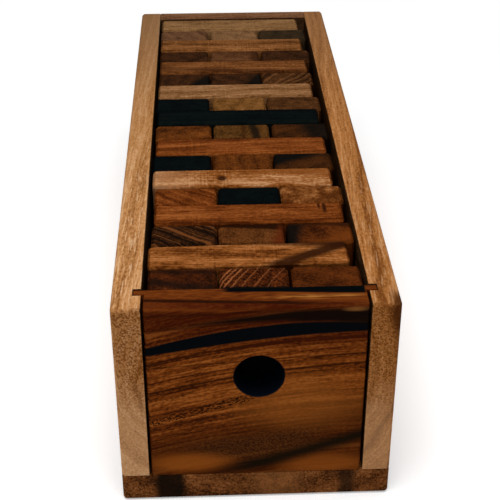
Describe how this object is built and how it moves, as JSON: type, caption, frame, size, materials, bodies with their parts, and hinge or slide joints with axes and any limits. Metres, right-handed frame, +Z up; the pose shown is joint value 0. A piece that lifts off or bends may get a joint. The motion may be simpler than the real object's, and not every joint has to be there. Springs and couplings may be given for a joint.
{
  "type": "boxed stacking block game",
  "caption": "Open-topped wooden box of loose hardwood tower blocks laid in crossed layers, with a grooved end panel that slides up by its finger hole.",
  "frame": {"origin": "middle of the underside of the bottom board", "axes": "+X to the right as seen from the end panel, +Y from the end panel to the back wall, +Z up"},
  "size_m": [0.102, 0.3, 0.0882],
  "materials": {
    "wall_wood": "oiled light tan hardwood with fine pores",
    "board_wood": "oiled mid brown hardwood",
    "panel_wood": "oiled figured red-brown hardwood with black streaks",
    "pale_block": "sanded pale sapwood",
    "tan_block": "sanded orange-tan hardwood",
    "brown_block": "sanded streaky brown hardwood",
    "dark_block": "sanded black heartwood"
  },
  "bodies": {
    "box": {"bottom_board": "board_wood", "left_wall": "wall_wood", "right_wall": "wall_wood", "back_wall": "board_wood"},
    "end_panel": {"end_panel": "panel_wood"},
    "layer_01_top_block": {"layer_01_top_block": "tan_block"},
    "layer_01_middle_block": {"layer_01_middle_block": "brown_block"},
    "layer_01_bottom_block": {"layer_01_bottom_block": "pale_block"},
    "layer_02_left_block": {"layer_02_left_block": "brown_block"},
    "layer_02_middle_block": {"layer_02_middle_block": "pale_block"},
    "layer_02_right_block": {"layer_02_right_block": "dark_block"},
    "layer_03_top_block": {"layer_03_top_block": "tan_block"},
    "layer_03_middle_block": {"layer_03_middle_block": "brown_block"},
    "layer_03_bottom_block": {"layer_03_bottom_block": "dark_block"},
    "layer_04_left_block": {"layer_04_left_block": "brown_block"},
    "layer_04_middle_block": {"layer_04_middle_block": "brown_block"},
    "layer_04_right_block": {"layer_04_right_block": "dark_block"},
    "layer_05_top_block": {"layer_05_top_block": "brown_block"},
    "layer_05_middle_block": {"layer_05_middle_block": "tan_block"},
    "layer_05_bottom_block": {"layer_05_bottom_block": "pale_block"},
    "layer_06_left_block": {"layer_06_left_block": "brown_block"},
    "layer_06_middle_block": {"layer_06_middle_block": "brown_block"},
    "layer_06_right_block": {"layer_06_right_block": "brown_block"},
    "layer_07_top_block": {"layer_07_top_block": "pale_block"},
    "layer_07_middle_block": {"layer_07_middle_block": "brown_block"},
    "layer_07_bottom_block": {"layer_07_bottom_block": "tan_block"},
    "layer_08_left_block": {"layer_08_left_block": "dark_block"},
    "layer_08_middle_block": {"layer_08_middle_block": "tan_block"},
    "layer_08_right_block": {"layer_08_right_block": "brown_block"},
    "layer_09_top_block": {"layer_09_top_block": "dark_block"},
    "layer_09_middle_block": {"layer_09_middle_block": "pale_block"},
    "layer_09_bottom_block": {"layer_09_bottom_block": "brown_block"},
    "layer_10_left_block": {"layer_10_left_block": "brown_block"},
    "layer_10_middle_block": {"layer_10_middle_block": "tan_block"},
    "layer_10_right_block": {"layer_10_right_block": "brown_block"},
    "layer_11_top_block": {"layer_11_top_block": "tan_block"},
    "layer_11_middle_block": {"layer_11_middle_block": "dark_block"},
    "layer_11_bottom_block": {"layer_11_bottom_block": "brown_block"},
    "layer_12_left_block": {"layer_12_left_block": "dark_block"},
    "layer_12_middle_block": {"layer_12_middle_block": "brown_block"},
    "layer_12_right_block": {"layer_12_right_block": "brown_block"},
    "layer_13_top_block": {"layer_13_top_block": "pale_block"},
    "layer_13_middle_block": {"layer_13_middle_block": "tan_block"},
    "layer_13_bottom_block": {"layer_13_bottom_block": "brown_block"},
    "layer_14_left_block": {"layer_14_left_block": "brown_block"},
    "layer_14_middle_block": {"layer_14_middle_block": "dark_block"},
    "layer_14_right_block": {"layer_14_right_block": "tan_block"},
    "layer_15_top_block": {"layer_15_top_block": "tan_block"},
    "layer_15_middle_block": {"layer_15_middle_block": "brown_block"},
    "layer_15_bottom_block": {"layer_15_bottom_block": "pale_block"},
    "layer_16_left_block": {"layer_16_left_block": "brown_block"},
    "layer_16_middle_block": {"layer_16_middle_block": "tan_block"},
    "layer_16_right_block": {"layer_16_right_block": "brown_block"},
    "layer_17_top_block": {"layer_17_top_block": "tan_block"},
    "layer_17_middle_block": {"layer_17_middle_block": "pale_block"},
    "layer_17_bottom_block": {"layer_17_bottom_block": "dark_block"},
    "layer_18_left_block": {"layer_18_left_block": "brown_block"},
    "layer_18_middle_block": {"layer_18_middle_block": "brown_block"},
    "layer_18_right_block": {"layer_18_right_block": "brown_block"}
  },
  "joints": [
    {"name": "end_panel_lift", "type": "slide", "parent": "box", "child": "end_panel", "axis": [0, 0, 1], "range_m": [0, 0.08]},
    {"name": "layer_01_bottom_lift", "type": "slide", "parent": "box", "child": "layer_01_bottom_block", "axis": [0, 0, 1], "range_m": [0, 0.08]},
    {"name": "layer_01_middle_lift", "type": "slide", "parent": "layer_01_bottom_block", "child": "layer_01_middle_block", "axis": [0, 0, 1], "range_m": [0, 0.055]},
    {"name": "layer_01_top_lift", "type": "slide", "parent": "layer_01_middle_block", "child": "layer_01_top_block", "axis": [0, 0, 1], "range_m": [0, 0.03]},
    {"name": "layer_02_left_lift", "type": "slide", "parent": "box", "child": "layer_02_left_block", "axis": [0, 0, 1], "range_m": [0, 0.08]},
    {"name": "layer_02_middle_lift", "type": "slide", "parent": "box", "child": "layer_02_middle_block", "axis": [0, 0, 1], "range_m": [0, 0.08]},
    {"name": "layer_02_right_lift", "type": "slide", "parent": "box", "child": "layer_02_right_block", "axis": [0, 0, 1], "range_m": [0, 0.08]},
    {"name": "layer_03_bottom_lift", "type": "slide", "parent": "box", "child": "layer_03_bottom_block", "axis": [0, 0, 1], "range_m": [0, 0.08]},
    {"name": "layer_03_middle_lift", "type": "slide", "parent": "layer_03_bottom_block", "child": "layer_03_middle_block", "axis": [0, 0, 1], "range_m": [0, 0.055]},
    {"name": "layer_03_top_lift", "type": "slide", "parent": "layer_03_middle_block", "child": "layer_03_top_block", "axis": [0, 0, 1], "range_m": [0, 0.03]},
    {"name": "layer_04_left_lift", "type": "slide", "parent": "box", "child": "layer_04_left_block", "axis": [0, 0, 1], "range_m": [0, 0.08]},
    {"name": "layer_04_middle_lift", "type": "slide", "parent": "box", "child": "layer_04_middle_block", "axis": [0, 0, 1], "range_m": [0, 0.08]},
    {"name": "layer_04_right_lift", "type": "slide", "parent": "box", "child": "layer_04_right_block", "axis": [0, 0, 1], "range_m": [0, 0.08]},
    {"name": "layer_05_bottom_lift", "type": "slide", "parent": "box", "child": "layer_05_bottom_block", "axis": [0, 0, 1], "range_m": [0, 0.08]},
    {"name": "layer_05_middle_lift", "type": "slide", "parent": "layer_05_bottom_block", "child": "layer_05_middle_block", "axis": [0, 0, 1], "range_m": [0, 0.055]},
    {"name": "layer_05_top_lift", "type": "slide", "parent": "layer_05_middle_block", "child": "layer_05_top_block", "axis": [0, 0, 1], "range_m": [0, 0.03]},
    {"name": "layer_06_left_lift", "type": "slide", "parent": "box", "child": "layer_06_left_block", "axis": [0, 0, 1], "range_m": [0, 0.08]},
    {"name": "layer_06_middle_lift", "type": "slide", "parent": "box", "child": "layer_06_middle_block", "axis": [0, 0, 1], "range_m": [0, 0.08]},
    {"name": "layer_06_right_lift", "type": "slide", "parent": "box", "child": "layer_06_right_block", "axis": [0, 0, 1], "range_m": [0, 0.08]},
    {"name": "layer_07_bottom_lift", "type": "slide", "parent": "box", "child": "layer_07_bottom_block", "axis": [0, 0, 1], "range_m": [0, 0.08]},
    {"name": "layer_07_middle_lift", "type": "slide", "parent": "layer_07_bottom_block", "child": "layer_07_middle_block", "axis": [0, 0, 1], "range_m": [0, 0.055]},
    {"name": "layer_07_top_lift", "type": "slide", "parent": "layer_07_middle_block", "child": "layer_07_top_block", "axis": [0, 0, 1], "range_m": [0, 0.03]},
    {"name": "layer_08_left_lift", "type": "slide", "parent": "box", "child": "layer_08_left_block", "axis": [0, 0, 1], "range_m": [0, 0.08]},
    {"name": "layer_08_middle_lift", "type": "slide", "parent": "box", "child": "layer_08_middle_block", "axis": [0, 0, 1], "range_m": [0, 0.08]},
    {"name": "layer_08_right_lift", "type": "slide", "parent": "box", "child": "layer_08_right_block", "axis": [0, 0, 1], "range_m": [0, 0.08]},
    {"name": "layer_09_bottom_lift", "type": "slide", "parent": "box", "child": "layer_09_bottom_block", "axis": [0, 0, 1], "range_m": [0, 0.08]},
    {"name": "layer_09_middle_lift", "type": "slide", "parent": "layer_09_bottom_block", "child": "layer_09_middle_block", "axis": [0, 0, 1], "range_m": [0, 0.055]},
    {"name": "layer_09_top_lift", "type": "slide", "parent": "layer_09_middle_block", "child": "layer_09_top_block", "axis": [0, 0, 1], "range_m": [0, 0.03]},
    {"name": "layer_10_left_lift", "type": "slide", "parent": "box", "child": "layer_10_left_block", "axis": [0, 0, 1], "range_m": [0, 0.08]},
    {"name": "layer_10_middle_lift", "type": "slide", "parent": "box", "child": "layer_10_middle_block", "axis": [0, 0, 1], "range_m": [0, 0.08]},
    {"name": "layer_10_right_lift", "type": "slide", "parent": "box", "child": "layer_10_right_block", "axis": [0, 0, 1], "range_m": [0, 0.08]},
    {"name": "layer_11_bottom_lift", "type": "slide", "parent": "box", "child": "layer_11_bottom_block", "axis": [0, 0, 1], "range_m": [0, 0.08]},
    {"name": "layer_11_middle_lift", "type": "slide", "parent": "layer_11_bottom_block", "child": "layer_11_middle_block", "axis": [0, 0, 1], "range_m": [0, 0.055]},
    {"name": "layer_11_top_lift", "type": "slide", "parent": "layer_11_middle_block", "child": "layer_11_top_block", "axis": [0, 0, 1], "range_m": [0, 0.03]},
    {"name": "layer_12_left_lift", "type": "slide", "parent": "box", "child": "layer_12_left_block", "axis": [0, 0, 1], "range_m": [0, 0.08]},
    {"name": "layer_12_middle_lift", "type": "slide", "parent": "box", "child": "layer_12_middle_block", "axis": [0, 0, 1], "range_m": [0, 0.08]},
    {"name": "layer_12_right_lift", "type": "slide", "parent": "box", "child": "layer_12_right_block", "axis": [0, 0, 1], "range_m": [0, 0.08]},
    {"name": "layer_13_bottom_lift", "type": "slide", "parent": "box", "child": "layer_13_bottom_block", "axis": [0, 0, 1], "range_m": [0, 0.08]},
    {"name": "layer_13_middle_lift", "type": "slide", "parent": "layer_13_bottom_block", "child": "layer_13_middle_block", "axis": [0, 0, 1], "range_m": [0, 0.055]},
    {"name": "layer_13_top_lift", "type": "slide", "parent": "layer_13_middle_block", "child": "layer_13_top_block", "axis": [0, 0, 1], "range_m": [0, 0.03]},
    {"name": "layer_14_left_lift", "type": "slide", "parent": "box", "child": "layer_14_left_block", "axis": [0, 0, 1], "range_m": [0, 0.08]},
    {"name": "layer_14_middle_lift", "type": "slide", "parent": "box", "child": "layer_14_middle_block", "axis": [0, 0, 1], "range_m": [0, 0.08]},
    {"name": "layer_14_right_lift", "type": "slide", "parent": "box", "child": "layer_14_right_block", "axis": [0, 0, 1], "range_m": [0, 0.08]},
    {"name": "layer_15_bottom_lift", "type": "slide", "parent": "box", "child": "layer_15_bottom_block", "axis": [0, 0, 1], "range_m": [0, 0.08]},
    {"name": "layer_15_middle_lift", "type": "slide", "parent": "layer_15_bottom_block", "child": "layer_15_middle_block", "axis": [0, 0, 1], "range_m": [0, 0.055]},
    {"name": "layer_15_top_lift", "type": "slide", "parent": "layer_15_middle_block", "child": "layer_15_top_block", "axis": [0, 0, 1], "range_m": [0, 0.03]},
    {"name": "layer_16_left_lift", "type": "slide", "parent": "box", "child": "layer_16_left_block", "axis": [0, 0, 1], "range_m": [0, 0.08]},
    {"name": "layer_16_middle_lift", "type": "slide", "parent": "box", "child": "layer_16_middle_block", "axis": [0, 0, 1], "range_m": [0, 0.08]},
    {"name": "layer_16_right_lift", "type": "slide", "parent": "box", "child": "layer_16_right_block", "axis": [0, 0, 1], "range_m": [0, 0.08]},
    {"name": "layer_17_bottom_lift", "type": "slide", "parent": "box", "child": "layer_17_bottom_block", "axis": [0, 0, 1], "range_m": [0, 0.08]},
    {"name": "layer_17_middle_lift", "type": "slide", "parent": "layer_17_bottom_block", "child": "layer_17_middle_block", "axis": [0, 0, 1], "range_m": [0, 0.055]},
    {"name": "layer_17_top_lift", "type": "slide", "parent": "layer_17_middle_block", "child": "layer_17_top_block", "axis": [0, 0, 1], "range_m": [0, 0.03]},
    {"name": "layer_18_left_lift", "type": "slide", "parent": "box", "child": "layer_18_left_block", "axis": [0, 0, 1], "range_m": [0, 0.08]},
    {"name": "layer_18_middle_lift", "type": "slide", "parent": "box", "child": "layer_18_middle_block", "axis": [0, 0, 1], "range_m": [0, 0.08]},
    {"name": "layer_18_right_lift", "type": "slide", "parent": "box", "child": "layer_18_right_block", "axis": [0, 0, 1], "range_m": [0, 0.08]}
  ]
}
